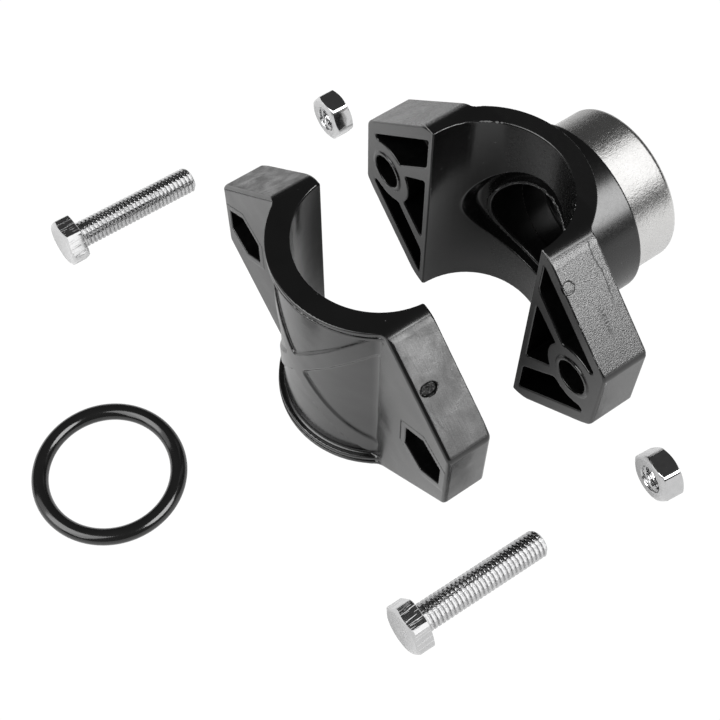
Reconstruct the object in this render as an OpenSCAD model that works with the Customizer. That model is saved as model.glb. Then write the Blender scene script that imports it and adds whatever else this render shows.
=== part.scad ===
// Tapping saddle for a 32 mm pipe with a 3/4 inch outlet, laid out unassembled:
// two clamp halves standing on their end faces, a metal reinforcing ring on the
// outlet, a sealing ring, two hexagon bolts and two hexagon nuts.
// Millimetres. Z is the pipe axis, +Y the outlet direction, z = 0 the surface
// that every piece rests on, x = y = 0 the pipe axis of the upper half.

/* [Pipe and body] */
// Bore diameter of the closed saddle
bore_d = 32.4; // [28:0.1:34]
// Length of both halves along the pipe
body_len = 52; // [48:1:60]
// Outer diameter of the end rims of the upper half
upper_rim_d = 40.4; // [39.6:0.1:42]
// Outer diameter of the end rims of the lower half
lower_rim_d = 41.8; // [41:0.1:43]
// Outer diameter of the wall between the end rims
wall_d = 38.8; // [37.6:0.1:39.2]
// Gap from the pipe axis to the mating face of the upper half
upper_gap = 0.6; // [0.2:0.1:1.5]
// Gap from the pipe axis to the mating face of the lower half
lower_gap = 1.8; // [0.6:0.1:2.5]

/* [Ears] */
// Distance from the pipe axis to the end face of an ear
ear_x = 38; // [36:0.5:44]
// Half length of the end face of an ear
ear_z = 9; // [7:0.5:12]
// Distance from the pipe axis to the root of the slanted face
ear_root_x = 18.4; // [17.8:0.1:20]
// Distance from the pipe axis to the back face of an upper ear
upper_ear_back = 9.9; // [8:0.1:14]
// Distance from the pipe axis to the back face of a lower ear
lower_ear_back = 11.5; // [10.5:0.1:14]
// Distance from the pipe axis to a bolt hole
bolt_x = 30.5; // [29:0.5:33]
// Diameter of the bolt holes
bolt_hole_d = 7.5; // [6.4:0.1:8]
// Radius of the solid boss round a bolt hole
boss_r = 7.4; // [7:0.1:8]
// Thickness of the back wall behind the ear pockets
back_wall = 2.5; // [1.5:0.1:4]
// Thickness of the slanted outer wall of an ear
slant_wall = 3; // [1.5:0.1:4]
// Corner radius of the ear outline
ear_corner = 1.2; // [0.4:0.1:3]

/* [Hex pockets] */
// Width across flats of the pocket for the bolt head
hex_pocket_af = 10.5; // [10.2:0.1:11]
// Depth of the pocket for the bolt head
hex_pocket_depth = 4.5; // [3:0.1:6]
// Height of the raised pad round the pocket
pad_h = 0.3; // [0.1:0.1:0.8]
// Width of the raised pad round the pocket
pad_w = 1.5; // [0.5:0.1:2]

/* [Outlet] */
// Diameter of the water passage
outlet_d = 22.4; // [16:0.1:23]
// Core diameter of the inside thread
thread_core_d = 24.12; // [23.5:0.01:25]
// Distance from the pipe axis to the ledge below the thread
ledge_y = 20.9; // [19:0.1:23]
// Outer diameter of the collar
collar_d = 38.2; // [37.4:0.1:38.6]
// Distance from the pipe axis to the top of the collar
collar_y = 26.5; // [24:0.1:30]
// Distance from the pipe axis to the mouth of the outlet
mouth_y = 37; // [33:0.1:41]
// Outer radius of the sealing groove
groove_r = 14.6; // [13.5:0.1:15]
// Depth of the sealing groove
groove_depth = 2.4; // [1.5:0.1:2.6]
// Thickness of the lip between passage and groove
lip = 0.8; // [0.5:0.1:1.2]
// How far the lip stands back from the bore
lip_back = 0.3; // [0.2:0.05:0.8]

/* [Reinforcing ring] */
// Outer diameter of the ring
ring_d = 34.4; // [33.8:0.1:35.4]
// Sheet thickness of the ring
ring_t = 0.9; // [0.6:0.1:1.2]
// Width of the inward lip at the mouth
ring_lip = 1.6; // [1:0.1:2.2]
// Radius of the rolled edge
ring_roll = 0.85; // [0.3:0.05:0.9]

/* [Sealing ring] */
// Inner diameter of the sealing ring
seal_id = 25; // [22:0.1:28]
// Section diameter of the sealing ring
seal_section = 3.53; // [2.5:0.01:4]

/* [Bolts and nuts] */
// Diameter of the bolt thread
bolt_d = 6; // [5:0.5:7]
// Length of the bolt below its head
bolt_len = 30; // [25:1:40]
// Width across flats of head and nut
hex_af = 10; // [8:0.5:10]
// Height of the bolt head
head_h = 4; // [3:0.1:5]
// Height of the nut
nut_h = 4.7; // [4:0.1:5.5]
// Core diameter of the nut thread
nut_core_d = 5; // [4:0.1:6]

/* [Layout] */
// Place of the lower half beside the upper half, across the pipe
lower_x = -3.04; // [-10:0.01:10]
// Place of the lower half in front of the upper half
lower_y = -22.8; // [-60:0.01:-15]

/* [Hidden] */
$fn = 96;
mid = body_len / 2;
bore_r = bore_d / 2;
upper_depth = upper_ear_back + upper_gap - back_wall;
lower_depth = lower_ear_back - lower_gap - back_wall;
BLACK = [0.035, 0.035, 0.037];
STEEL = [0.72, 0.72, 0.72];
ZINC = [0.75, 0.75, 0.76];
RUBBER = [0.02, 0.02, 0.02];

// ---- plane shapes, drawn in x and z with z = 0 at the middle of the pipe length

function unit(v) = v / norm(v);

// points of a polygon with rounded corners, n flats to a corner
function rounded(p, r, n = 4) = [
    for (i = [0 : len(p) - 1])
        let (m = len(p), b = p[i], u = unit(p[(i + m - 1) % m] - b), w = unit(p[(i + 1) % m] - b),
             half = acos(u * w) / 2, t = r / tan(half), c = b + unit(u + w) * r / sin(half),
             s = b + u * t - c, e = b + w * t - c,
             a0 = atan2(s[1], s[0]), da = (u[0] * w[1] - u[1] * w[0] > 0 ? -1 : 1) * (180 - 2 * half))
        for (k = [0 : n]) c + r * [cos(a0 + da * k / n), sin(a0 + da * k / n)]
];

// whole outline of a half seen along the outlet: both ears and the slanted faces
module outline() {
    polygon(concat([for (v = [[ear_root_x, -mid], [ear_x + 1, -ear_z + (mid - ear_z) / (ear_x - ear_root_x)], [ear_x + 1, ear_z - (mid - ear_z) / (ear_x - ear_root_x)], [ear_root_x, mid]]) v],
        [for (v = [[-ear_root_x, mid], [-ear_x - 1, ear_z - (mid - ear_z) / (ear_x - ear_root_x)], [-ear_x - 1, -ear_z + (mid - ear_z) / (ear_x - ear_root_x)], [-ear_root_x, -mid]]) v]));
}

// slab from y = a to y = b of a plane shape, in place at the middle of the pipe
module slab(a, b) {
    translate([0, b, mid]) rotate([90, 0, 0]) linear_extrude(height = b - a) children();
}

// outline of one ear on the +x side, drawn in by a margin
module ear_outline(margin = 0) {
    n = unit([mid - ear_z, ear_x - ear_root_x]);
    dx = margin / n[0];
    q = ear_z - margin * (1 - n[0]) / n[1];
    polygon(concat(
        [[14, -mid], [ear_root_x - dx, -mid]],
        [for (v = rounded([[ear_root_x - dx, -mid], [ear_x - margin, -q], [ear_x - margin, q], [ear_root_x - dx, mid]], ear_corner))
            if (v[0] > ear_x - margin - 3 * ear_corner) v],
        [[ear_root_x - dx, mid], [14, mid]]
    ));
}

// the pocket above or below the boss, on the +x side
module outer_pocket() {
    n = unit([mid - ear_z, ear_x - ear_root_x]);
    // a point on the inner line of the slanted wall at a given x
    function zl(x) = ear_z + ((ear_x - x) * n[0] - slant_wall) / n[1];
    polygon(rounded([[35.2, zl(35.2)], [19.3, zl(19.3)], [17.7, zl(19.3) - 0.7], [17.7, 14.3], [26.4, 6.2], [31, 4]], 0.7));
}

// the pocket between the two ribs and the boss, on the +x side
module middle_pocket() {
    polygon(rounded([[17.9, -9.7], [24.6, -4.3], [26.5, 0], [24.6, 4.3], [17.9, 9.7]], 0.7));
}

module pockets() {
    difference() {
        union() {
            outer_pocket();
            mirror([0, 1, 0]) outer_pocket();
            middle_pocket();
        }
        translate([bolt_x, 0]) circle(r = boss_r);
    }
}

module hexagon(af) {
    rotate(30) circle(r = af / 2 / cos(30), $fn = 6);
}

module both_sides() {
    children();
    mirror([1, 0, 0]) children();
}

// ---- half shell with a double rim at each end

module shell(rim_r) {
    wall_r = wall_d / 2;
    rotate_extrude() polygon([
        [0, 0], [rim_r, 0], [rim_r, 1.1], [rim_r - 0.5, 1.1], [rim_r - 0.5, 1.5],
        [rim_r - 0.1, 1.5], [rim_r - 0.1, 2.2], [wall_r, 2.9],
        [wall_r, body_len - 2.9], [rim_r - 0.1, body_len - 2.2], [rim_r - 0.1, body_len - 1.5],
        [rim_r - 0.5, body_len - 1.5], [rim_r - 0.5, body_len - 1.1], [rim_r, body_len - 1.1],
        [rim_r, body_len], [0, body_len]
    ]);
}

module pipe_bore() {
    translate([0, 0, -1]) cylinder(h = body_len + 2, r = bore_r);
}

// a cylinder along +y through the middle of the pipe length
module along_y(a, b, r) {
    translate([0, a, mid]) rotate([-90, 0, 0]) cylinder(h = b - a, r = r);
}

// ---- the pieces

module upper_half() {
    color(BLACK) difference() {
        union() {
            intersection() {
                shell(upper_rim_d / 2);
                slab(-upper_gap, 50) outline();
            }
            both_sides() slab(-upper_gap, upper_ear_back) ear_outline();
            both_sides() slab(-upper_gap - 0.3, -upper_gap + 1) translate([bolt_x, 0]) circle(r = 4.7);
            along_y(10, collar_y, collar_d / 2);
            along_y(20, mouth_y, ring_d / 2 - ring_t - 0.05);
        }
        pipe_bore();
        both_sides() slab(-upper_gap - 1, upper_depth - upper_gap) pockets();
        both_sides() slab(-5, upper_ear_back + 1) translate([bolt_x, 0]) circle(r = bolt_hole_d / 2, $fn = 48);
        // water passage, the lip round it, thread bore and its lead-in
        intersection() {
            translate([0, 0, mid - groove_r - 1]) cylinder(h = 2 * groove_r + 2, r = bore_r + lip_back);
            along_y(2, 30, outlet_d / 2 + lip);
        }
        along_y(0, ledge_y + 1, outlet_d / 2);
        along_y(ledge_y, mouth_y + 1, thread_core_d / 2);
        translate([0, mouth_y - 1.2, mid]) rotate([-90, 0, 0]) cylinder(h = 1.3, r1 = thread_core_d / 2, r2 = thread_core_d / 2 + 1.3);
        // sealing groove, its floor follows the pipe
        intersection() {
            translate([0, 0, mid - groove_r - 1]) cylinder(h = 2 * groove_r + 2, r = bore_r + groove_depth);
            difference() {
                along_y(2, 30, groove_r);
                along_y(0, 32, outlet_d / 2 + lip);
            }
        }
    }
}

module lower_half() {
    translate([lower_x, lower_y, 0]) color(BLACK) difference() {
        union() {
            intersection() {
                shell(lower_rim_d / 2);
                slab(-50, -lower_gap) outline();
            }
            // raised crossing bands on the wall
            intersection() {
                translate([0, 0, 1.5]) cylinder(h = body_len - 3, r = wall_d / 2 + 0.45);
                slab(-30, -8) intersection() {
                    union() for (s = [-1, 1]) rotate(s * 51.8) square([70, 3.9], center = true);
                    square([34, body_len - 3], center = true);
                }
            }
            both_sides() {
                slab(-lower_ear_back + 0.5, -lower_gap) ear_outline();
                slab(-lower_ear_back, -lower_ear_back + 1) ear_outline(0.5);
                slab(-lower_ear_back - pad_h, -lower_ear_back + 1) translate([bolt_x, 0]) hexagon(hex_pocket_af + 2 * pad_w);
                slab(-lower_gap - 1, -lower_gap + 0.3) translate([bolt_x, 0]) circle(r = 4.7);
            }
        }
        pipe_bore();
        both_sides() slab(-lower_gap - lower_depth, -lower_gap + 1) pockets();
        both_sides() slab(-lower_ear_back - 1, 1) translate([bolt_x, 0]) circle(r = bolt_hole_d / 2, $fn = 48);
        both_sides() slab(-lower_ear_back - 1, -lower_ear_back + hex_pocket_depth) translate([bolt_x, 0]) hexagon(hex_pocket_af);
    }
}

module reinforcing_ring() {
    r = ring_d / 2;
    y0 = collar_y;
    y1 = mouth_y + ring_t;
    color(STEEL) translate([0, 0, mid]) rotate([-90, 0, 0]) rotate_extrude() polygon(concat(
        [[r - ring_t, y0], [r, y0]],
        [for (k = [0 : 6]) [r - ring_roll + ring_roll * cos(15 * k), y1 - ring_roll + ring_roll * sin(15 * k)]],
        [[r - ring_t - ring_lip, y1], [r - ring_t - ring_lip, y1 - ring_t], [r - ring_t, y1 - ring_t]]
    ));
}

module o_ring() {
    color(RUBBER) translate([-15.2, -81.3, seal_section / 2]) rotate_extrude()
        translate([seal_id / 2 + seal_section / 2, 0]) circle(r = seal_section / 2, $fn = 32);
}

// bolt along +y from its bearing face, the head towards -y with a flat down
module bolt() {
    rotate([-90, 0, 0]) {
        intersection() {
            translate([0, 0, -head_h]) cylinder(h = head_h, r = hex_af / 2 / cos(30), $fn = 6);
            translate([0, 0, -head_h]) cylinder(h = head_h, r1 = hex_af / 2 - 0.15, r2 = hex_af / 2 - 0.15 + head_h * 1.7);
        }
        cylinder(h = bolt_len - 0.7, r = bolt_d / 2, $fn = 48);
        translate([0, 0, bolt_len - 0.7]) cylinder(h = 0.7, r1 = bolt_d / 2, r2 = bolt_d / 2 - 0.7, $fn = 48);
        translate([0, 0, -0.5]) cylinder(h = 1, r = bolt_d / 2, $fn = 48);
    }
}

// a bolt resting on one flat of its head and on its tip
module resting_bolt(x, y, turn) {
    tilt = atan((hex_af - bolt_d) / 2 / (bolt_len - 0.7));
    translate([x, y, hex_af / 2 * cos(tilt)]) rotate([0, 0, turn]) rotate([-tilt, 0, 0]) color(ZINC) bolt();
}

module resting_nut(x, y, turn) {
    translate([x, y, hex_af / 2]) rotate([0, 0, turn]) rotate([-90, 0, 0]) color(ZINC) difference() {
        intersection() {
            cylinder(h = nut_h, r = hex_af / 2 / cos(30), $fn = 6, center = true);
            translate([0, 0, -nut_h / 2]) cylinder(h = nut_h, r1 = hex_af / 2 - 0.1, r2 = hex_af / 2 - 0.1 + nut_h * 1.7);
            translate([0, 0, -nut_h / 2]) cylinder(h = nut_h, r2 = hex_af / 2 - 0.1, r1 = hex_af / 2 - 0.1 + nut_h * 1.7);
        }
        cylinder(h = nut_h + 1, r = nut_core_d / 2, center = true, $fn = 48);
        for (s = [0, 1]) mirror([0, 0, s]) translate([0, 0, nut_h / 2 - 0.5]) cylinder(h = 0.6, r1 = nut_core_d / 2, r2 = nut_core_d / 2 + 0.6, $fn = 48);
    }
}

module bolt_1() { resting_bolt(-68.66, -58.41, 1.9); }
module bolt_2() { resting_bolt(47.52, -48.93, -0.4); }
module nut_1() { resting_nut(-64.83, 8.68, 0); }
module nut_2() { resting_nut(50.77, 9.26, -6); }

upper_half();
lower_half();
reinforcing_ring();
o_ring();
bolt_1();
bolt_2();
nut_1();
nut_2();
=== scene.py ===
import math

import bmesh
import bpy
import numpy as np
from mathutils import Matrix, Vector


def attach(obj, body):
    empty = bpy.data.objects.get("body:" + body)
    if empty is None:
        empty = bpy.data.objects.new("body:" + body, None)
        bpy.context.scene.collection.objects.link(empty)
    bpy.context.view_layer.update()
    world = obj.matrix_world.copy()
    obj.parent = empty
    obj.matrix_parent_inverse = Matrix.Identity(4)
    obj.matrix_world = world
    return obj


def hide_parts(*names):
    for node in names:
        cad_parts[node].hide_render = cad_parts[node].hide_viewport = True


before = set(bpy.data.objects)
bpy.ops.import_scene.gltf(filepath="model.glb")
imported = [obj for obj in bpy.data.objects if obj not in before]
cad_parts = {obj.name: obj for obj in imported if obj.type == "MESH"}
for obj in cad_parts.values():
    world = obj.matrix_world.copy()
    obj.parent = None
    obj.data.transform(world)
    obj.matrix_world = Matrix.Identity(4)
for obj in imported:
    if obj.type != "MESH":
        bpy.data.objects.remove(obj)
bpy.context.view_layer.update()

MM = 0.001
MID = 26.0
LOWER = (-3.04, -22.8, 0.0)
PI = math.pi


# ---------------------------------------------------------------- solid shapes as distance fields (mm)

def rmax(a, b, r):
    """Intersection with a rounded edge."""
    return np.minimum(-r, np.maximum(a, b)) + np.hypot(np.maximum(a + r, 0), np.maximum(b + r, 0))


def rmin(a, b, r):
    """Union with a fillet."""
    return np.maximum(r, np.minimum(a, b)) - np.hypot(np.maximum(r - a, 0), np.maximum(r - b, 0))


SL = math.hypot(17.0, 19.6)
N0, N1 = 17.0 / SL, 19.6 / SL


def shell_field(r, az, rim, wall=19.4):
    d = r - wall
    d = rmin(d, rmax(r - (rim - 0.1), 23.4 - az, 0.3), 0.7)
    groove = rmax(np.abs(az - 24.65) - 0.27, (rim - 0.45) - r, 0.12)
    lip = rmax(r - rim, 24.9 - az, 0.1)
    d = np.minimum(d, lip)
    return rmax(d, -groove, 0.1)


def rim_edge(ax):
    """Soft edge of the end faces; none where the slanted faces are already drawn by the ears."""
    return 0.28 - 0.265 * np.clip((ax - 15.8) / 1.6, 0, 1)


def pocket_field(ax, az, rb, c2):
    slope = -((ax - 17.7) * 0.681 + (az - 14.3) * 0.732)
    end = -((ax - 31.0) * -0.635 + (az - 4.0) * 0.773)
    p = rmax(c2 + 3.0, 17.7 - ax, 0.5)
    p = rmax(p, slope, 0.8)
    p = rmax(p, end, 0.8)
    p = rmax(p, 7.4 - rb, 0.5)
    q = rmax(17.9 - ax, (ax - 17.9) * 0.6276 + (az - 9.7) * 0.7786, 0.8)
    q = rmax(q, 7.4 - rb, 0.6)
    return np.minimum(p, q)


def upper_field(x, y, z):
    dz = z - MID
    ax, az = np.abs(x), np.abs(dz)
    r, rc = np.hypot(x, y), np.hypot(x, dz)
    rb = np.hypot(ax - 30.5, dz)
    c2 = (ax - 38.0) * N0 + (az - 9.0) * N1
    ear = rmax(rmax(ax - 38.0, c2, 0.9), y - 9.9, 0.35)
    d = rmin(shell_field(r, az, 20.2), ear, 0.8)
    collar = rmax(rc - 19.1, y - 26.5, 0.35)
    d = rmin(d, collar, 1.2)
    d = rmin(d, rmax(rc - 16.25, y - 37.0, 0.3), 0.2)
    # one soft edge between the end faces and the slanted ones, rounder corners far out on the ears
    d = rmax(d, rmax(az - 26.0, c2, 1.8), rim_edge(ax))
    low = np.clip((-23.8 - dz) / 2.0, 0, 1)
    d = rmax(d, -0.6 - y, 0.22 + 0.45 * np.clip((ax - 35.5) / 2.5, 0, 1) + 0.8 * low)
    d = rmax(d, 16.2 - r, 0.3)
    pk = rmax(pocket_field(ax, az, rb, c2), y - 7.4, 0.7)
    d = rmax(d, -pk, 0.28)
    d = rmin(d, np.maximum(rmax(rb - 4.7, -0.9 - y, 0.2), y - 1.0), 0.15)
    d = rmax(d, 3.75 - rb, 0.25)
    # sealing groove in the bore, passage and thread space
    g = rmax(rmax(rc - 14.6, r - 18.6, 0.5), 12.0 - rc, 0.4)
    g = np.minimum(g, np.maximum(rc - 12.0, r - 16.5))
    g = np.maximum(g, 2.0 - y)
    d = rmax(d, -g, 0.22)
    d = rmax(d, 11.2 - rc, 0.25)
    d = rmax(d, -np.maximum(rc - 13.3, 20.9 - y), 0.1)
    # shallow round mark of an ejector pin, cut by the edge of one slanted face
    ej = np.hypot(np.hypot(x - E1[0], y - E1[1]), z - E1[2])
    d = d + 0.13 * np.clip(1 - np.abs(ej - 1.1) / 0.3, 0, 1) + 0.08 * np.clip((1.1 - ej) / 0.3, 0, 1)
    return d


def lower_field(x, y, z):
    dz = z - MID
    ax, az = np.abs(x), np.abs(dz)
    r = np.hypot(x, y)
    rb = np.hypot(ax - 30.5, dz)
    c2 = (ax - 38.0) * N0 + (az - 9.0) * N1
    ear = rmax(rmax(ax - 38.0, c2, 0.8), -11.5 - y, 0.95)
    # hexagonal pad and pocket, flats towards x
    hx = np.maximum(np.abs(ax - 30.5), 0.5 * np.abs(ax - 30.5) + 0.8660254 * az)
    ear = rmin(ear, np.maximum(rmax(hx - 6.75, -11.56 - y, 0.1), y + 10.0), 0.1)
    d = shell_field(r, az, 20.9)
    # raised crossing bands on the wall
    s, c = math.sin(math.radians(51.8)), math.cos(math.radians(51.8))
    b1 = np.abs(dz * c - x * s) - 1.95
    b2 = np.abs(dz * c + x * s) - 1.95
    bands = rmin(b1, b2, 1.2)
    bands = rmax(rmax(bands, r - 19.85, 0.3), y + 4.0, 0.1)
    d = rmin(d, np.maximum(bands, az - 24.0), 0.35)
    d = rmin(d, ear, 0.7)
    d = rmax(d, rmax(az - 26.0, c2, 1.2), rim_edge(ax))
    d = rmax(d, y + 1.8, 0.3 + 0.6 * np.clip((ax - 35.5) / 2.5, 0, 1) + np.where(x < 0, 0.8, 0.15) * np.clip((az - 24.0) / 2.0, 0, 1))
    d = rmax(d, 16.2 - r, 0.35)
    pk = rmax(pocket_field(ax, az, rb, c2), -9.0 - y, 0.7)
    d = rmax(d, -pk, 0.28)
    d = rmin(d, np.maximum(rmax(rb - 4.7, y + 1.5, 0.2), -3.0 - y), 0.15)
    d = rmax(d, 3.75 - rb, 0.3)
    hp = rmax(rmax(hx - 5.25, y + 7.0, 0.2), -20.0 - y, 0.1)
    d = rmax(d, -hp, 0.22)
    # oval dent where the gate was torn off
    s = (x - G1[0]) * N1 - (z - G1[2]) * N0
    q = (np.hypot((y - G1[1]) / 1.8, s / 1.2) - 1) * 1.3
    dent = rmax(np.maximum(q, -((x - 38.0) * N0 + (dz - 9.0) * N1) - 0.8), q, 0.05)
    dent = np.where((x > 0) & (dz > 0), dent, 1.0)
    return rmax(d, -dent, 0.16)


# middle of the ejector mark on the right slanted face of the upper half
E1 = (23.6, 0.5, MID + 9.0 + (38.0 - 23.6) * N0 / N1)
# middle of the torn gate on the right slanted face of the lower half
G1 = (27.42, -8.6, MID + 9.0 + (38.0 - 27.42) * N0 / N1)


def axis_points(lo, hi, step, fine=()):
    """Grid lines from lo to hi: a coarse step, and a finer one in the given zones."""
    pts, v = [lo], lo
    while v < hi - 1e-6:
        s = step
        for a, b, f in fine:
            if a - step <= v < b:
                s = min(s, f)
        v += s
        pts.append(v)
    return np.array(pts, np.float64)


def mesh_from_field(name, field, xs, ys, zs, shift=(0, 0, 0), target=190000):
    """Surface nets over a graded grid, pulled on to the surface, thinned where it is flat."""
    nx, ny, nz = len(xs), len(ys), len(zs)
    F = np.empty((nx, ny, nz), np.float32)
    Y, Z = np.meshgrid(ys, zs, indexing="ij")
    Y, Z = Y.astype(np.float32), Z.astype(np.float32)
    for i in range(nx):
        F[i] = field(np.full_like(Y, xs[i]), Y, Z)
    F[np.abs(F) < 1e-5] = 1e-5
    S = F < 0
    corners = [(0, 0, 0), (1, 0, 0), (0, 1, 0), (1, 1, 0), (0, 0, 1), (1, 0, 1), (0, 1, 1), (1, 1, 1)]
    cnt = np.zeros((nx - 1, ny - 1, nz - 1), np.uint8)
    for a, b, c in corners:
        cnt += S[a:nx - 1 + a, b:ny - 1 + b, c:nz - 1 + c]
    I, J, K = np.nonzero((cnt > 0) & (cnt < 8))
    ids = np.full(cnt.shape, -1, np.int32)
    ids[I, J, K] = np.arange(len(I))
    acc = np.zeros((len(I), 3))
    num = np.zeros(len(I))
    G = (xs, ys, zs)
    for p in range(8):
        for q in range(p + 1, 8):
            a, b = corners[p], corners[q]
            if sum(abs(u - v) for u, v in zip(a, b)) != 1:
                continue
            fa = F[I + a[0], J + a[1], K + a[2]].astype(np.float64)
            fb = F[I + b[0], J + b[1], K + b[2]].astype(np.float64)
            m = (fa < 0) != (fb < 0)
            t = np.where(m, fa / np.where(m, fa - fb, 1), 0)
            A = np.stack([G[n][(I, J, K)[n] + a[n]] for n in range(3)], 1)
            B = np.stack([G[n][(I, J, K)[n] + b[n]] for n in range(3)], 1)
            acc += np.where(m[:, None], A + (B - A) * t[:, None], 0)
            num += m
    P = acc / num[:, None]
    lo = np.stack([G[n][(I, J, K)[n]] for n in range(3)], 1)
    hi = np.stack([G[n][(I, J, K)[n] + 1] for n in range(3)], 1)
    for _ in range(4):
        g, f = slope_of(field, P)
        P = np.clip(P - g * (f / np.maximum((g * g).sum(1), 0.2))[:, None], lo, hi)
    quads = []
    for axis in range(3):
        sl0 = [slice(None)] * 3
        sl1 = [slice(None)] * 3
        sl0[axis] = slice(0, -1)
        sl1[axis] = slice(1, None)
        cross = S[tuple(sl0)] != S[tuple(sl1)]
        e = np.array(np.nonzero(cross))
        u, v = (axis + 1) % 3, (axis + 2) % 3
        keep = (e[u] > 0) & (e[v] > 0) & (e[u] < F.shape[u] - 1) & (e[v] < F.shape[v] - 1)
        e = e[:, keep]
        out = S[tuple(e)]
        ring = []
        for du, dv in ((-1, -1), (0, -1), (0, 0), (-1, 0)):
            w = e.copy()
            w[u] += du
            w[v] += dv
            ring.append(ids[tuple(w)])
        ring = np.stack(ring, 1)
        ring[~out] = ring[~out][:, ::-1]
        quads.append(ring)
    Q = np.concatenate(quads)
    me = bpy.data.meshes.new(name)
    me.vertices.add(len(P))
    me.vertices.foreach_set("co", P.astype(np.float32).ravel())
    me.loops.add(4 * len(Q))
    me.loops.foreach_set("vertex_index", Q.astype(np.int32).ravel())
    me.polygons.add(len(Q))
    me.polygons.foreach_set("loop_start", np.arange(0, 4 * len(Q), 4, dtype=np.int32))
    me.update(calc_edges=True)
    me.validate()
    ob = bpy.data.objects.new(name, me)
    bpy.context.scene.collection.objects.link(ob)
    tris = 2 * len(Q)
    print(name, "before thinning", tris)
    if tris > target:
        mod = ob.modifiers.new("thin", "DECIMATE")
        mod.ratio = target / tris
        dg = bpy.context.evaluated_depsgraph_get()
        new = bpy.data.meshes.new_from_object(ob.evaluated_get(dg))
        ob.modifiers.clear()
        ob.data = new
        bpy.data.meshes.remove(me)
        me = new
        me.name = name
    n = len(me.vertices)
    co = np.empty(n * 3, np.float32)
    me.vertices.foreach_get("co", co)
    P = co.reshape(-1, 3).astype(np.float64)
    for _ in range(2):
        g, f = slope_of(field, P)
        step = g * (f / np.maximum((g * g).sum(1), 0.2))[:, None]
        L = np.linalg.norm(step, axis=1, keepdims=True)
        P = P - step * np.minimum(1, 0.05 / np.maximum(L, 1e-9))
    nl = len(me.loops)
    vi = np.empty(nl, np.int32)
    me.loops.foreach_get("vertex_index", vi)
    tot = np.empty(len(me.polygons), np.int32)
    me.polygons.foreach_get("loop_total", tot)
    face = np.repeat(np.arange(len(tot)), tot)
    mid = np.stack([np.bincount(face, P[vi, k]) for k in range(3)], 1) / tot[:, None]
    away = mid[face] - P[vi]
    size = np.linalg.norm(away, axis=1, keepdims=True)
    C = P[vi] + away * (0.04 + 0.36 * np.clip((size - 0.2) / 0.4, 0, 1))
    g, f = slope_of(field, C, 0.07)
    N = g / np.maximum(np.linalg.norm(g, axis=1, keepdims=True), 1e-9)
    P = (P + np.array(shift)) * MM
    me.vertices.foreach_set("co", P.astype(np.float32).ravel())
    me.polygons.foreach_set("use_smooth", np.ones(len(me.polygons), bool))
    me.update()
    me.normals_split_custom_set(N.tolist())
    print(name, "triangles", sum(len(p.vertices) - 2 for p in me.polygons))
    return ob


def slope_of(field, P, h=0.03):
    g = np.empty_like(P)
    for n in range(3):
        d = np.zeros(3)
        d[n] = h
        A, B = P + d, P - d
        g[:, n] = (field(A[:, 0], A[:, 1], A[:, 2]) - field(B[:, 0], B[:, 1], B[:, 2])) / (2 * h)
    return g, field(P[:, 0], P[:, 1], P[:, 2])


# ---------------------------------------------------------------- turned and threaded shapes

def loft(name, rings, closed_ends=(True, True), smooth_angle=35, loop=False):
    """Mesh through rings of equal size (mm). Ends are closed with one face each."""
    n = len(rings[0])
    V = np.concatenate(rings)
    k = len(rings)
    i = np.arange(n)
    faces = []
    for a in range(k if loop else k - 1):
        b = (a + 1) % k
        faces.append(np.stack([a * n + i, a * n + (i + 1) % n, b * n + (i + 1) % n, b * n + i], 1))
    F = [tuple(map(int, f)) for f in np.concatenate(faces)]
    if not loop:
        if closed_ends[0]:
            F.append(tuple(int(v) for v in i[::-1]))
        if closed_ends[1]:
            F.append(tuple(int(v) for v in (k - 1) * n + i))
    me = bpy.data.meshes.new(name)
    me.from_pydata([tuple(v) for v in V], [], F)
    me.validate()
    me.update()
    ob = bpy.data.objects.new(name, me)
    bpy.context.scene.collection.objects.link(ob)
    shade(ob, smooth_angle)
    return ob


def shade(ob, angle):
    me = ob.data
    bm = bmesh.new()
    bm.from_mesh(me)
    bmesh.ops.recalc_face_normals(bm, faces=bm.faces)
    lim = math.radians(angle)
    for f in bm.faces:
        f.smooth = True
    for e in bm.edges:
        if len(e.link_faces) == 2:
            e.smooth = e.calc_face_angle(0) < lim
    bm.to_mesh(me)
    bm.free()
    me.update()


def place(ob, fn):
    """Moves every vertex by a function of its position in mm and turns the mesh to metres."""
    me = ob.data
    co = np.empty(len(me.vertices) * 3, np.float32)
    me.vertices.foreach_get("co", co)
    P = fn(co.reshape(-1, 3).astype(np.float64)) * MM
    me.vertices.foreach_set("co", P.astype(np.float32).ravel())
    me.update()
    return ob


def ring_at(r, s, phi):
    """One ring about +Z: radius r (number or array), height s (number or array)."""
    r = np.broadcast_to(np.asarray(r, float), phi.shape)
    s = np.broadcast_to(np.asarray(s, float), phi.shape)
    return np.stack([r * np.cos(phi), r * np.sin(phi), s], 1)


def thread_depth(t, crest=0.13, root=0.2):
    """0 at the crest, 1 at the root of a thread, t in pitches."""
    t = np.abs((t % 1.0) - 0.5) * 2          # 1 at the crest, 0 at the root
    u = np.clip((1 - crest - t) / (1 - crest - root), 0, 1)
    return u * u * (3 - 2 * u) * 0.35 + u * 0.65


def hexagon_radius(phi, half, round_=0.12):
    """Radius of a hexagon with flats at 0, 60, ... degrees and slightly rounded corners."""
    a = (phi + PI / 6) % (PI / 3) - PI / 6
    r = half / np.cos(a)
    corner = half / math.cos(PI / 6)
    return np.minimum(r, corner - round_ + 0.3 * (corner - round_ - r).clip(max=0))


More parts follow.
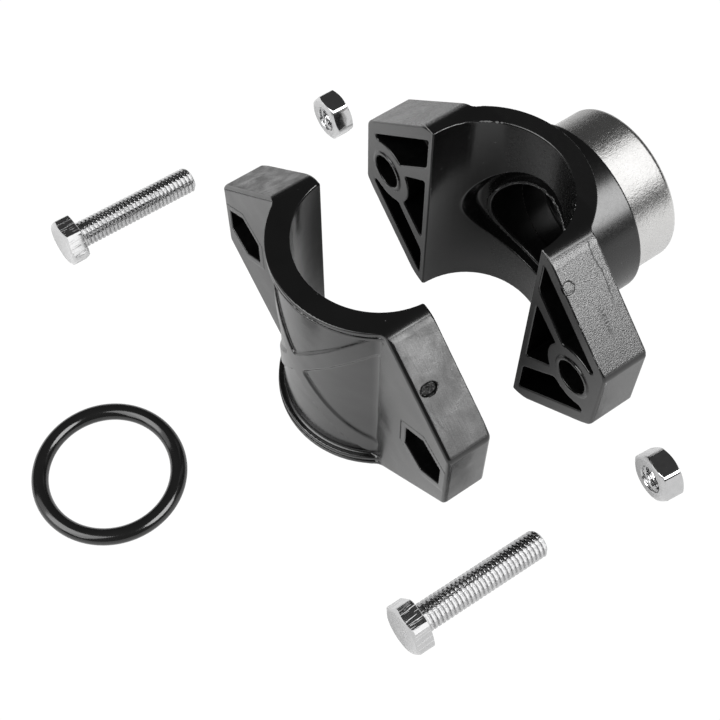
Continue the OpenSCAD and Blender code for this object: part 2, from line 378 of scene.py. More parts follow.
def bolt_mesh(name):
    seg = 96
    phi = np.arange(seg) * 2 * PI / seg
    hexr = hexagon_radius(phi, 5.0)
    rings = []
    # top of the head, dished a little in the middle, then the chamfer
    r0 = 4.72
    for r, s in ((0.25, -3.93), (1.6, -3.93), (3.0, -3.945), (3.9, -3.98), (4.4, -4.0), (r0, -4.0)):
        rings.append(ring_at(r, s, phi))
    drop = lambda q: -4.0 + np.maximum(q - r0, 0) * 0.6
    for t in (0.12, 0.5, 0.86, 0.97):
        q = r0 + (hexr - r0) * t
        rings.append(ring_at(q, drop(q), phi))
    rings.append(ring_at(hexr, drop(hexr) + 0.06, phi))
    low = -0.02 - np.maximum(hexr - 5.2, 0) * 0.25
    rings.append(ring_at(hexr, low - 0.12, phi))
    rings.append(ring_at(hexr - 0.1, low, phi))
    rings.append(ring_at(4.8, 0.0, phi))
    rings.append(ring_at(3.3, 0.0, phi))
    rings.append(ring_at(2.95, 0.12, phi))
    # threaded shank
    per = 18
    L = 30.0
    steps = int((L - 0.25) * per)
    for k in range(steps + 1):
        s = 0.25 + k / per
        if s > L:
            break
        fade = min(1.0, max(0.0, (s - 0.5) / 1.0))
        r = 2.98 - 0.5 * fade * thread_depth(s - phi / (2 * PI), 0.42, 0.14)
        r = np.minimum(r, 2.98 - max(0.0, s - (L - 0.75)) * 0.95)
        rings.append(ring_at(r, s, phi))
    rings.append(ring_at(1.9, L, phi))
    rings.append(ring_at(0.2, L, phi))
    ob = loft(name, rings, smooth_angle=32)
    return ob


def resting_bolt(name, x, y, turn):
    ob = bolt_mesh(name)
    tilt = math.atan(2.0 / 29.3)
    ct, st = math.cos(tilt), math.sin(tilt)
    c, s = math.cos(math.radians(turn)), math.sin(math.radians(turn))

    def fn(P):
        # axis from +Z to +Y, flats (at 0 degrees) turned to the table
        a, b, h = P[:, 0], P[:, 1], P[:, 2]
        X, Y, Z = b, h, a
        Y2, Z2 = Y * ct + Z * st, -Y * st + Z * ct
        X3, Y3 = X * c - Y2 * s, X * s + Y2 * c
        return np.stack([X3 + x, Y3 + y, Z2 + 5.0 * ct], 1)

    return place(ob, fn)


def nut_mesh(name):
    seg = 96
    phi = np.arange(seg) * 2 * PI / seg
    hexr = hexagon_radius(phi, 5.0)
    H = 4.7
    r0 = 4.8
    drop = lambda q: H / 2 - np.maximum(q - r0, 0) * 0.58
    rings = []
    # outside from the middle of the top face to the bottom face
    for r in (3.1, 3.7, 4.4, r0):
        rings.append(ring_at(r, H / 2, phi))
    for t in (0.15, 0.55, 0.9):
        q = r0 + (hexr - r0) * t
        rings.append(ring_at(q, drop(q), phi))
    rings.append(ring_at(hexr, drop(hexr) - 0.05, phi))
    rings.append(ring_at(hexr, 0.0, phi))
    rings.append(ring_at(hexr, -drop(hexr) + 0.05, phi))
    for t in (0.9, 0.55, 0.15):
        q = r0 + (hexr - r0) * t
        rings.append(ring_at(q, -drop(q), phi))
    for r in (r0, 4.4, 3.7, 3.1):
        rings.append(ring_at(r, -H / 2, phi))
    # thread, bottom to top
    steps = 80
    for k in range(1, steps):
        s = -H / 2 + H * k / steps
        edge = min(s + H / 2, H / 2 - s)
        r = 2.52 + 0.5 * thread_depth(s - phi / (2 * PI), 0.13, 0.2)
        r = np.maximum(r, 3.1 - edge * 1.05)
        rings.append(ring_at(r, s, phi))
    return loft(name, rings, loop=True, smooth_angle=32)


def resting_nut(name, x, y, turn):
    ob = nut_mesh(name)
    c, s = math.cos(math.radians(turn)), math.sin(math.radians(turn))

    def fn(P):
        X, Y, Z = P[:, 1], P[:, 2], P[:, 0]
        return np.stack([X * c - Y * s + x, X * s + Y * c + y, Z + 5.0], 1)

    return place(ob, fn)


def outlet_thread(name):
    """Inside thread of the branch: a closed tube whose inner wall is the helix."""
    seg = 192
    phi = np.arange(seg) * 2 * PI / seg
    p = 1.814
    y0, y1 = 20.9, 37.0
    rings = [ring_at(13.25, y1 - 0.05, phi), ring_at(13.25, y0, phi), ring_at(12.2, y0, phi)]
    n = int((y1 - y0) / p * 14)
    for k in range(n + 1):
        y = y0 + (y1 - y0 - 0.02) * k / n
        lead = max(0.0, y - 35.8)
        fade = min(1.0, max(0.0, (y - 26.6) / 1.6))
        r = 12.07 + 1.13 * fade * thread_depth(y / p + phi / (2 * PI), 0.16, 0.12)
        r = np.minimum(np.maximum(r, 12.07 + lead * 0.95), 13.2)
        rings.append(ring_at(r, y, phi))
    ob = loft(name, rings, loop=True, smooth_angle=35)
    return place(ob, lambda P: np.stack([P[:, 0], P[:, 2], P[:, 1] + MID], 1))


def steel_ring(name):
    """Pressed sheet ring: rolled mouth edge with an inward lip, a small round at the collar end."""
    seg = 224
    phi = np.arange(seg) * 2 * PI / seg
    R, t = 17.2, 0.9
    y0, y1 = 26.5, 37.9
    prof = []
    for k in range(7):
        a = PI / 2 * k / 6
        prof.append((R - 0.3 + 0.3 * math.sin(a), y0 + 0.3 - 0.3 * math.cos(a)))
    for k in range(1, 10):
        prof.append((R, y0 + 0.3 + (y1 - 1.35 - y0 - 0.3) * k / 10))
    for k in range(13):
        a = PI / 2 * k / 12
        prof.append((R - 1.35 + 1.35 * math.cos(a), y1 - 1.35 + 1.35 * math.sin(a)))
    for k in range(1, 4):
        prof.append((R - 1.35 - (t + 1.6 - 1.35 - 0.2) * k / 3, y1))
    for k in range(1, 5):
        a = PI / 2 * k / 4
        prof.append((R - t - 1.4 - 0.2 * math.sin(a), y1 - 0.2 + 0.2 * math.cos(a)))
    prof += [(R - t - 1.6, y1 - t), (R - t - 0.15, y1 - t), (R - t, y1 - t - 0.15), (R - t, y0 + 0.1), (R - t + 0.1, y0)]
    rings = [ring_at(r, s, phi) for r, s in prof]
    ob = loft(name, rings, loop=True, smooth_angle=40)
    return place(ob, lambda P: np.stack([P[:, 0], P[:, 2], P[:, 1] + MID], 1))


def seal_ring(name):
    seg, sec = 256, 56
    th = np.arange(seg) * 2 * PI / seg
    a = np.arange(sec) * 2 * PI / sec
    rr = 3.53 / 2
    # a hair of moulding seam along the inner and outer equator
    seam = 1 + 0.012 * np.exp(-(np.sin(a) / 0.05) ** 2) - 0.012
    rings = []
    for t in th:
        wob = 0.05 * math.sin(2 * t + 0.7) + 0.03 * math.sin(3 * t)
        rad = 12.5 + rr + wob + rr * seam * np.cos(a) - 0.05 * 0
        rings.append(np.stack([rad * math.cos(t), rad * math.sin(t), rr * seam * np.sin(a)], 1))
    ob = loft(name, rings, loop=True, smooth_angle=60)
    return place(ob, lambda P: P * np.array([0.994, 0.994, 1]) + np.array([-15.2, -81.3, rr]))


# ---------------------------------------------------------------- build the pieces

st = 0.34
fine = 0.17
ends = [(-0.5, 0.6, 0.2), (0.7, 1.8, fine), (50.1, 51.2, fine), (51.4, 52.3, 0.2)]
xs = axis_points(-38.6, 38.6, st)
upper = mesh_from_field("saddle_upper", upper_field, xs,
                        axis_points(-1.5, 37.7, st, [(-1.4, 0.2, 0.2)]),
                        axis_points(-0.6, 52.6, st, ends))
lower = mesh_from_field("saddle_lower", lower_field, xs,
                        axis_points(-21.6, -0.6, st, [(-12.2, -10.4, fine), (-2.4, -1.2, 0.2)]),
                        axis_points(-0.6, 52.6, st, ends), shift=LOWER)
thread = outlet_thread("branch_thread")
steel = steel_ring("steel_ring")
seal = seal_ring("seal_ring")
bolt_a = resting_bolt("bolt_a", -68.66, -58.41, 1.9)
bolt_b = resting_bolt("bolt_b", 47.52, -48.93, -0.4)
nut_a = resting_nut("nut_a", -64.83, 8.68, 0)
nut_b = resting_nut("nut_b", 50.77, 9.26, -6)

# ---------------------------------------------------------------- small marks: torn gate, ragged flash

def torn_gate(name):
    """Rough lump left in the gate's dent: a closed button whose top is torn."""
    seg = 72
    phi = np.arange(seg) * 2 * PI / seg
    rng = np.random.RandomState(11)
    ks = [(k, rng.uniform(0, 2 * PI), rng.uniform(0, 2 * PI), rng.uniform(0.4, 1.0)) for k in (2, 3, 5, 7, 9, 12)]

    def torn(rho):
        h = np.zeros_like(phi)
        for k, a, b, w in ks:
            h += w * np.sin(k * phi + a + 5.5 * rho) * np.cos(1.7 * k * rho + b) / math.sqrt(k)
        return h

    rings = []
    for rho, w in ((1.0, -1.4), (1.0, -0.72)):
        rings.append(np.stack([1.7 * rho * np.cos(phi), 1.12 * rho * np.sin(phi), np.full(seg, w)], 1))
    for i in range(1, 22):
        rho = 1 - i / 22.0
        base = -0.5 - 0.14 * math.cos(13.0 * rho) - 0.25 * (rho > 0.94)
        lump = 0.2 * math.exp(-((rho - 0.3) / 0.14) ** 2)
        w = base + lump * (0.4 + 0.6 * np.cos(phi - 0.6)) + 0.13 * torn(rho) * min(1.0, rho * 3)
        rr = 1 + 0.05 * np.sin(6 * phi + 8 * rho) * rho
        rings.append(np.stack([1.68 * rho * rr * np.cos(phi), 1.1 * rho * rr * np.sin(phi), np.minimum(w, 0.0)], 1))
    ob = loft(name, rings, smooth_angle=28)
    g = np.array(G1) + np.array(LOWER)

    def fn(P):
        u, v, w = P[:, 0:1], P[:, 1:2], P[:, 2:3]
        return g + u * np.array([[0, 1, 0]]) + v * np.array([[-N1, 0, N0]]) + w * np.array([[N0, 0, N1]])

    return place(ob, fn)


def flash(name, path, tip, amp, width=0.2, seed=1, gap=0.35):
    """Ragged fin of moulding flash along a path (mm): path and tip give points and unit tip directions."""
    rng = np.random.RandomState(seed)
    n = len(path)
    h = rng.rand(n)
    h = np.convolve(np.concatenate([h, h[:4]]), np.ones(3) / 3, "same")[:n]
    slow = np.interp(np.arange(n), np.arange(0, n + 12, 12), rng.rand(len(np.arange(0, n + 12, 12))))
    h = np.clip((h - gap) / (1 - gap), 0, 1) ** 1.2 * (0.25 + 1.2 * slow)
    h[0] = h[-1] = 0
    t = np.gradient(path, axis=0)
    t /= np.linalg.norm(t, axis=1, keepdims=True)
    side = np.cross(t, tip)
    rings = []
    for i in range(n):
        c, u, a = path[i], tip[i], side[i]
        w = width * (0.35 + 0.9 * h[i]) / 2
        rings.append(np.array([c - a * w - u * 0.16, c + a * w - u * 0.16, c + u * (amp * h[i] - 0.1)]))
    ob = loft(name, rings, smooth_angle=20)
    return place(ob, lambda P: P)


def arc(r, z, a0, a1, step=0.16):
    n = max(4, int(abs(a1 - a0) * PI / 180 * r / step))
    a = np.radians(np.linspace(a0, a1, n))
    return np.stack([r * np.cos(a), r * np.sin(a), np.full(n, z)], 1)


def line(p, q, step=0.16):
    p, q = np.array(p, float), np.array(q, float)
    n = max(4, int(np.linalg.norm(q - p) / step))
    return p + (q - p) * np.linspace(0, 1, n)[:, None]


def even(*parts, step=0.16):
    """Joins stretches of a path and spaces its points evenly."""
    p = np.concatenate(parts)
    d = np.linalg.norm(np.diff(p, axis=0), axis=1)
    keep = np.concatenate([[True], d > 1e-6])
    p = p[keep]
    s = np.concatenate([[0], np.cumsum(np.linalg.norm(np.diff(p, axis=0), axis=1))])
    q = np.linspace(0, s[-1], int(s[-1] / step) + 2)
    return np.stack([np.interp(q, s, p[:, k]) for k in range(3)], 1)


def unit(v, n):
    v = np.array(v, float)
    return np.tile(v / np.linalg.norm(v), (n, 1))


gate = torn_gate("gate_mark")
p1 = even(line((-19.8, -0.52, 51.93), (-16.35, -0.52, 51.93)), arc(16.28, 51.92, 178, 112))
t1 = np.stack([-p1[:, 0] / 16.3 * 0.5, -p1[:, 1] / 16.3 * 0.5, np.full(len(p1), 0.85)], 1)
t1 /= np.linalg.norm(t1, axis=1, keepdims=True)
flash_a = flash("flash_left", p1, t1, 0.5, width=0.34, seed=3, gap=0.34)
p2 = even(line((16.35, -0.52, 51.9), (18.2, -0.52, 51.85)), line((18.7, -0.52, 51.6), (37.2, -0.5, 35.55)))
flash_b = flash("flash_right", p2, unit((0.45, -0.6, 0.65), len(p2)), 0.5, width=0.3, seed=8, gap=0.45)
p3 = arc(16.28, 51.93, 66, 14)
t3 = np.stack([-p3[:, 0] / 16.3 * 0.5, -p3[:, 1] / 16.3 * 0.5, np.full(len(p3), 0.85)], 1)
t3 /= np.linalg.norm(t3, axis=1, keepdims=True)
flash_c = flash("flash_bore", p3, t3, 0.4, width=0.26, seed=5, gap=0.55)
a4 = np.radians(np.linspace(-68, 78, 150))
p4 = np.stack([11.62 * np.sin(a4), np.sqrt(16.52 ** 2 - (11.62 * np.sin(a4)) ** 2), MID + 11.62 * np.cos(a4)], 1)
t4 = unit((0.0, -1.0, 0.15), len(p4))
flash_d = flash("flash_seat", p4, t4, 0.6, width=0.42, seed=13, gap=0.15)


# ---------------------------------------------------------------- build table

for ob, node in ((upper, "upper_half"), (lower, "lower_half"), (steel, "reinforcing_ring"), (seal, "o_ring"),
                 (bolt_a, "bolt_1"), (bolt_b, "bolt_2"), (nut_a, "nut_1"), (nut_b, "nut_2")):
    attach(ob, "lower" if ob is lower else "upper")
    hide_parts(node)
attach(thread, "upper")
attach(gate, "lower")
for ob in (flash_a, flash_b, flash_c, flash_d):
    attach(ob, "upper")


# ---------------------------------------------------------------- materials

class Nodes:
    def __init__(self, name):
        self.mat = bpy.data.materials.new(name)
        self.mat.use_nodes = True
        self.t = self.mat.node_tree
        self.bsdf = next(n for n in self.t.nodes if n.type == "BSDF_PRINCIPLED")
        tc = self.t.nodes.new("ShaderNodeTexCoord")
        self.co = tc.outputs["Object"]
        a, b = self.new("ShaderNodeSeparateXYZ"), self.new("ShaderNodeSeparateXYZ")
        self.link(self.co, a.inputs[0])
        self.link(tc.outputs["Normal"], b.inputs[0])
        self.x, self.y, self.z = a.outputs
        self.nx, self.ny, self.nz = b.outputs

    def new(self, kind, **props):
        n = self.t.nodes.new(kind)
        for k, v in props.items():
            setattr(n, k, v)
        return n

    def link(self, a, b):
        self.t.links.new(a, b)

    def mapped(self, stretch):
        m = self.new("ShaderNodeMapping")
        m.inputs["Scale"].default_value = stretch
        self.link(self.co, m.inputs["Vector"])
        return m.outputs[0]

    def noise(self, scale, detail=3.0, rough=0.5, stretch=None, distort=0.0):
        n = self.new("ShaderNodeTexNoise")
        n.inputs["Scale"].default_value = scale
        n.inputs["Detail"].default_value = detail
        n.inputs["Roughness"].default_value = rough
        n.inputs["Distortion"].default_value = distort
        self.link(self.mapped(stretch) if stretch else self.co, n.inputs["Vector"])
        return n.outputs["Fac"]

    def specks(self, scale, size, share):
        """Small round spots in a share of the cells: 1 on a spot, 0 elsewhere."""
        v = self.new("ShaderNodeTexVoronoi")
        v.inputs["Scale"].default_value = scale
        self.link(self.co, v.inputs["Vector"])
        s = self.new("ShaderNodeSeparateColor")
        self.link(v.outputs["Color"], s.inputs[0])
        near = self.step(v.outputs["Distance"], size, size * 0.6)
        return self.maths("MULTIPLY", near, self.maths("LESS_THAN", s.outputs[0], share))

    def grains(self, scale):
        """Sand-like grains: 1 in the middle of a cell, 0 between cells."""
        v = self.new("ShaderNodeTexVoronoi")
        v.inputs["Scale"].default_value = scale
        self.link(self.co, v.inputs["Vector"])
        return self.maths("SUBTRACT", 1.0, v.outputs["Distance"])

    def ramp(self, fac, stops, smooth=True):
        r = self.new("ShaderNodeValToRGB")
        r.color_ramp.interpolation = "EASE" if smooth else "LINEAR"
        e = r.color_ramp.elements
        while len(e) < len(stops):
            e.new(0.5)
        for el, (p, c) in zip(e, stops):
            el.position = p
            el.color = (c, c, c, 1) if isinstance(c, (int, float)) else (*c, 1)
        self.link(fac, r.inputs["Fac"])
        return r.outputs["Color"]

    def maths(self, op, *vals, clamp=False):
        n = self.new("ShaderNodeMath", operation=op, use_clamp=clamp)
        for k, v in enumerate(vals):
            if isinstance(v, (int, float)):
                n.inputs[k].default_value = v
            else:
                self.link(v, n.inputs[k])
        return n.outputs[0]

    def step(self, v, lo, hi):
        """Smooth step of v, from 0 at lo to 1 at hi; lo may be the larger one."""
        n = self.new("ShaderNodeMapRange", interpolation_type="SMOOTHSTEP", clamp=True)
        a, b = (0.0, 1.0) if lo < hi else (1.0, 0.0)
        for k, q in ((1, min(lo, hi)), (2, max(lo, hi)), (3, a), (4, b)):
            n.inputs[k].default_value = q
        self.link(v, n.inputs[0])
        return n.outputs[0]

    def lerp(self, a, b, f):
        if isinstance(a, (int, float)) and isinstance(b, (int, float)):
            return self.maths("MULTIPLY_ADD", f, b - a, a)
        return self.maths("ADD", self.maths("MULTIPLY", a, self.maths("SUBTRACT", 1.0, f)), self.maths("MULTIPLY", b, f))

    def grey(self, v, tint=(1.0, 1.0, 1.0)):
        c = self.new("ShaderNodeCombineColor")
        for k in range(3):
            self.link(v if tint[k] == 1.0 else self.maths("MULTIPLY", v, tint[k]), c.inputs[k])
        return c.outputs[0]

    def bump(self, height, strength, distance, normal=None):
        b = self.new("ShaderNodeBump")
        b.inputs["Strength"].default_value = strength
        b.inputs["Distance"].default_value = distance
        self.link(height, b.inputs["Height"])
        if normal is not None:
            self.link(normal, b.inputs["Normal"])
        return b.outputs["Normal"]


def plastic(name, seed, centre=(0.0, 0.0), mating=-0.6, upper=True):
    m = Nodes(name)
    b = m.bsdf
    M = m.maths
    b.inputs["Specular IOR Level"].default_value = 0.6
    gritty = 1.0 if upper else 0.22
    grit = m.grains(4300 + seed)
    grain = m.noise(1300 + seed, 2, 0.5)
    broad = m.noise(85 + seed, 3, 0.5)
    cloud = m.noise(30 + seed, 2, 0.5)
    patch = m.noise(150 + seed, 4, 0.62, None, 0.8)
    ax = M("ABSOLUTE", M("SUBTRACT", m.x, centre[0] * MM))
    az = M("ABSOLUTE", M("SUBTRACT", m.z, MID * MM))
    dy = M("SUBTRACT", m.y, centre[1] * MM)
    # where the mould was eroded (slanted and end faces) the surface is matt and gritty; rims and bore are smooth
    c2 = M("ADD", M("MULTIPLY", M("SUBTRACT", ax, 38 * MM), N0), M("MULTIPLY", M("SUBTRACT", az, 9 * MM), N1))
    slant = M("ADD", M("MULTIPLY", M("ABSOLUTE", m.nx), N0), M("MULTIPLY", M("ABSOLUTE", m.nz), N1))
    slant = M("MULTIPLY", m.step(slant, 0.95, 0.985), m.step(c2, -0.9 * MM, -0.6 * MM))
    side = M("MULTIPLY", m.step(M("ABSOLUTE", m.nx), 0.96, 0.99), m.step(ax, 37.2 * MM, 37.5 * MM))
    top = m.step(M("ABSOLUTE", m.nz), 0.9, 0.975)
    r = M("SQRT", M("ADD", M("MULTIPLY", ax, ax), M("MULTIPLY", dy, dy)))
    bore = M("MULTIPLY", m.step(r, 17.0 * MM, 16.5 * MM), M("SUBTRACT", 1.0, top))
    # distance from the mating face, along the slanted face
    far = M("SUBTRACT", dy, mating * MM)
    far = far if mating > -1 else M("MULTIPLY", far, -1.0)
    # roughness
    rough = M("ADD", m.lerp(0.13, 0.24, broad), M("MULTIPLY", M("SUBTRACT", grain, 0.5), 0.05))
    rough = m.lerp(rough, m.lerp(0.12, 0.22, broad), bore)
    rough = m.lerp(rough, m.lerp(0.13, 0.19, grain), top)
    if upper:
        # the collar of the outlet is satin
        rough = m.lerp(rough, m.lerp(0.2, 0.32, grain), m.step(m.y, 12 * MM, 13 * MM))
    matt = m.lerp(0.13, 0.3, patch) if upper else m.lerp(0.24, 0.45, m.step(patch, 0.3, 0.7))
    rough = m.lerp(rough, M("ADD", matt, M("MULTIPLY", grit, 0.1)), slant)
    rough = m.lerp(rough, m.lerp(0.1, 0.24, patch), side)
    # colour: black with a little haze on the gritty faces, grey sand grain that also paints sheen on the slanted faces
    # (stronger on the upper half), fine dust specks
    col = m.lerp(0.0022, 0.0045, broad)
    col = M("ADD", col, M("MULTIPLY", slant, m.lerp(0.002, 0.018 if upper else 0.010, grit)))
    # sand grain: a real grainy texture whose pale colour is also painted sheen
    sand_and_sheen = m.step(m.noise(4600 + seed, 2, 0.6), 0.36, 0.68)
    if upper:
        # paler towards the top: a painted highlight where the face reflects more light
        sand_and_sheen = M("MULTIPLY", sand_and_sheen, m.lerp(0.3, 1.2, m.step(m.z, 35 * MM, 51 * MM)))
    col = M("ADD", col, M("MULTIPLY", M("MULTIPLY", slant, sand_and_sheen), 0.072 if upper else 0.022))
    dust = M("MAXIMUM", m.specks(430 + seed, 0.075, 0.1), m.specks(1100 + seed, 0.12, 0.035))
    col = m.lerp(col, 0.12, M("MULTIPLY", dust, 0.75))
    # ragged pale edge where the slanted faces meet the mating face
    rag = m.step(M("SUBTRACT", M("MULTIPLY", M("SUBTRACT", grain, 0.42), 2.4 * MM), far), -0.12 * MM, 0.12 * MM)
    rag = M("MULTIPLY", rag, M("MULTIPLY", slant, m.step(m.z, 30 * MM, 34 * MM)))
    col = m.lerp(col, 0.06, M("MULTIPLY", rag, 0.9))
    # height
    n = m.bump(cloud, 0.5, 0.0005)
    n = m.bump(broad, 0.35, 0.00012, n)
    n = m.bump(M("MULTIPLY", patch, slant), 0.5, 0.00007 if upper else 0.00004, n)
    n = m.bump(M("MULTIPLY", grain, m.lerp(0.05, gritty, slant)), 0.5, 0.00003, n)
    n = m.bump(M("MULTIPLY", grit, m.lerp(m.lerp(0.03, 0.01, top), gritty, slant)), 0.8, 0.00004, n)
    n = m.bump(M("MULTIPLY", m.noise(5600 + seed, 1, 0.5), m.lerp(0.0, gritty, slant)), 0.8, 0.00004, n)
    if upper:
        # wavy flow line along the back edge of the right slanted face, sunk and matt, its darker colour painted shade
        wob = M("MULTIPLY", M("SUBTRACT", m.noise(260, 4, 0.7), 0.5), 2.6 * MM)
        q = M("ABSOLUTE", M("SUBTRACT", M("SUBTRACT", m.y, 7.9 * MM), wob))
        right = M("MULTIPLY", slant, m.step(m.x, 0.0, 1 * MM))
        flow = M("MULTIPLY", m.step(q, 0.24 * MM, 0.03 * MM), M("MULTIPLY", right, m.step(m.z, 41 * MM, 46 * MM)))
        # pits near the mating edge, a third of the way down, sunk and matt, their darker colour painted shade
        pit = m.noise(2600, 3, 0.6, (1, 0.6, 1))
        pit = M("MULTIPLY", m.step(pit, 0.49, 0.56), M("MULTIPLY", m.step(M("ABSOLUTE", M("SUBTRACT", m.y, 4.7 * MM)), 0.9 * MM, 0.3 * MM),
                m.step(M("ABSOLUTE", M("SUBTRACT", m.z, 41.8 * MM)), 2.6 * MM, 1.2 * MM)))
        pit = M("MULTIPLY", pit, right)
        # painted shade: darker colour in the flow line and pits
        col = M("MULTIPLY", col, m.lerp(1.0, 0.12, M("MAXIMUM", flow, pit)))
        rough = m.lerp(rough, 0.7, M("MULTIPLY", M("MAXIMUM", flow, pit), 0.8))
        n = m.bump(M("MAXIMUM", flow, pit), -0.7, 0.00008, n)
    else:
        # fine scratches down the slope, and one curved scratch
        along = M("SUBTRACT", M("MULTIPLY", M("ADD", m.x, -centre[0] * MM), N1), M("MULTIPLY", m.z, N0))
        v = m.new("ShaderNodeCombineXYZ")
        m.link(M("MULTIPLY", M("ADD", along, M("MULTIPLY", dy, 0.35)), 0.06), v.inputs[0])
        m.link(dy, v.inputs[1])
        sc = m.new("ShaderNodeTexNoise")
        sc.inputs["Scale"].default_value = 2300
        sc.inputs["Detail"].default_value = 2
        m.link(v.outputs[0], sc.inputs["Vector"])
        fine_lines = M("MULTIPLY", sc.outputs["Fac"], slant)
        n = m.bump(fine_lines, 0.8, 0.00005, n)
        lx = M("SUBTRACT", M("SUBTRACT", m.x, centre[0] * MM), 31.2 * MM)
        curve = M("MULTIPLY_ADD", M("MULTIPLY", lx, lx), 100.0, -9.9 * MM)
        q = M("ABSOLUTE", M("SUBTRACT", dy, curve))
        cut = M("MULTIPLY", m.step(q, 0.14 * MM, 0.03 * MM), M("MULTIPLY", slant, m.step(M("ABSOLUTE", M("SUBTRACT", lx, 0.8 * MM)), 3.1 * MM, 2.4 * MM)))
        rough = m.lerp(rough, 0.6, M("MULTIPLY", cut, 0.8))
        n = m.bump(cut, -0.8, 0.00006, n)
    # vertical draw marks in the bore
    draw = M("MULTIPLY", m.noise(420 + seed, 2, 0.5, (1, 1, 0.05)), bore)
    n = m.bump(draw, 0.6, 0.00004, n)
    m.link(m.grey(col), b.inputs["Base Color"])
    m.link(rough, b.inputs["Roughness"])
    m.link(n, b.inputs["Normal"])
    return m.mat


def dull_shade_painted_plastic(name, spec, rough):
    """The black plastic inside pockets, holes and the passage, darker in colour as painted shade, since hardly any
    light comes back there.
    """
    m = Nodes(name)
    m.bsdf.inputs["Specular IOR Level"].default_value = spec
    g = m.noise(900, 2, 0.5)
    m.link(m.grey(m.lerp(0.0006, 0.0018, g)), m.bsdf.inputs["Base Color"])
    m.link(m.lerp(rough - 0.15, rough, g), m.bsdf.inputs["Roughness"])
    return m.mat


def deep_faces(ob, centre, upper, mat):
    """Gives the faces inside pockets, holes and the passage their own material, whose darker colour is painted shade.
    """
    me = ob.data
    c = np.empty(len(me.polygons) * 3, np.float32)
    me.polygons.foreach_get("center", c)
    c = c.reshape(-1, 3).astype(np.float64) / MM
    x, y, z = c[:, 0] - centre[0], c[:, 1] - centre[1], c[:, 2] - MID
    ax, az = np.abs(x), np.abs(z)
    k = (ax - 38) * N0 + (az - 9) * N1
    inside = (k < -2.7) & (ax > 17.6) & (ax < 36.4)
    if upper:
        deep = inside & (y > -0.1) & (y < 8.4)
        deep |= (np.hypot(x, z) < 11.6) & (np.hypot(x, y) > 17.3) & (y < 20.8) & (y > 0)
        deep |= inside & (np.hypot(ax - 30.5, z) < 4.2) & (y > 0) & (y < 9.5)
    else:
        deep = inside & (y < -2.3) & (y > -11.1)
    me.materials.append(mat)
    me.polygons.foreach_set("material_index", deep.astype(np.int32))
    me.update()


def torn_plastic(name, pale):
    m = Nodes(name)
    b = m.bsdf
    g = m.noise(1900, 3, 0.6)
    m.link(m.grey(m.lerp(pale * 0.25, pale, g)), b.inputs["Base Color"])
    m.link(m.lerp(0.25, 0.5, g), b.inputs["Roughness"])
    m.link(m.bump(g, 0.6, 0.00004), b.inputs["Normal"])
    return m.mat


def sheet_steel(name):
    m = Nodes(name)
    b = m.bsdf
    b.inputs["Metallic"].default_value = 1.0
    grain = m.noise(2600, 3, 0.7, (1, 0.45, 1))
    fine_ = m.noise(5200, 2, 0.6, (1, 0.5, 1))
    broad = m.noise(140, 3, 0.5)
    m.link(m.grey(m.lerp(0.6, 0.72, broad), (1.0, 0.992, 0.98)), b.inputs["Base Color"])
    m.link(m.lerp(0.17, 0.34, grain), b.inputs["Roughness"])
    n = m.bump(broad, 0.5, 0.0002)
    n = m.bump(grain, 0.9, 0.00006, n)
    n = m.bump(fine_, 0.7, 0.000018, n)
    m.link(n, b.inputs["Normal"])
    return m.mat


def zinc(name, streaks):
    """Bright zinc plate: calm on the thread, drawn streaks along the axis on the heads' flats."""
    m = Nodes(name)
    b = m.bsdf
    M = m.maths
    b.inputs["Metallic"].default_value = 1.0
    streak = m.noise(1500, 2, 0.6, (1, 0.012, 1))
    hair = m.noise(3200, 2, 0.6, (1, 0.02, 1))
    lines = m.step(streak, 0.54, 0.6)
    spot = m.noise(700, 3, 0.55)
    flat = M("MULTIPLY", m.step(M("ABSOLUTE", m.ny), 0.5, 0.2), streaks)
    m.link(m.grey(m.lerp(0.5, 0.62, spot), (1.0, 1.0, 1.005)), b.inputs["Base Color"])
    m.link(m.lerp(0.08, 0.18, spot), b.inputs["Roughness"])
    n = m.bump(spot, 0.4, 0.000005)
    n = m.bump(M("MULTIPLY", hair, flat), 0.8, 0.00001, n)
    n = m.bump(M("MULTIPLY", lines, flat), 1.0, 0.00003, n)
    m.link(n, b.inputs["Normal"])
    return m.mat


def rubber(name):
    m = Nodes(name)
    b = m.bsdf
    a = m.noise(1500, 3, 0.6)
    c = m.noise(120, 2, 0.5)
    dust = M4(m)
    m.link(m.grey(m.lerp(m.lerp(0.004, 0.009, c), 0.2, dust)), b.inputs["Base Color"])
    m.link(m.lerp(0.09, 0.19, a), b.inputs["Roughness"])
    n = m.bump(c, 0.4, 0.00006)
    m.link(m.bump(a, 0.3, 0.000008, n), b.inputs["Normal"])
    return m.mat


def M4(m):
    return m.maths("MULTIPLY", m.specks(300, 0.06, 0.12), 0.7)


def give(mat, *obs):
    for o in obs:
        o.data.materials.clear()
        o.data.materials.append(mat)


give(plastic("plastic_upper", 0, (0, 0), -0.6), upper)
# the inner thread of the branch: darker colour as painted shade inside the outlet
give(dull_shade_painted_plastic("plastic_outlet_painted_shade", 0.06, 0.4), thread)
give(plastic("plastic_lower", 37, LOWER[:2], -1.8, False), lower)
# pockets, holes and passage: darker colour as painted shade
unlit = dull_shade_painted_plastic("plastic_deep_painted_shade", 0.1, 0.5)
deep_faces(upper, (0, 0), True, unlit)
deep_faces(lower, LOWER, False, unlit)
give(torn_plastic("plastic_torn", 0.02), gate)
# pale flash: partly stress whitening, partly a painted highlight of the thin fins catching the light
give(torn_plastic("plastic_flash", 0.3), flash_a, flash_b, flash_c)
give(torn_plastic("plastic_flash_seat", 0.22), flash_d)
give(sheet_steel("steel_sheet"), steel)
give(zinc("zinc_bolt", 1.0), bolt_a, bolt_b)
give(zinc("zinc_nut", 0.12), nut_a, nut_b)
give(rubber("seal_rubber_gloss"), seal)


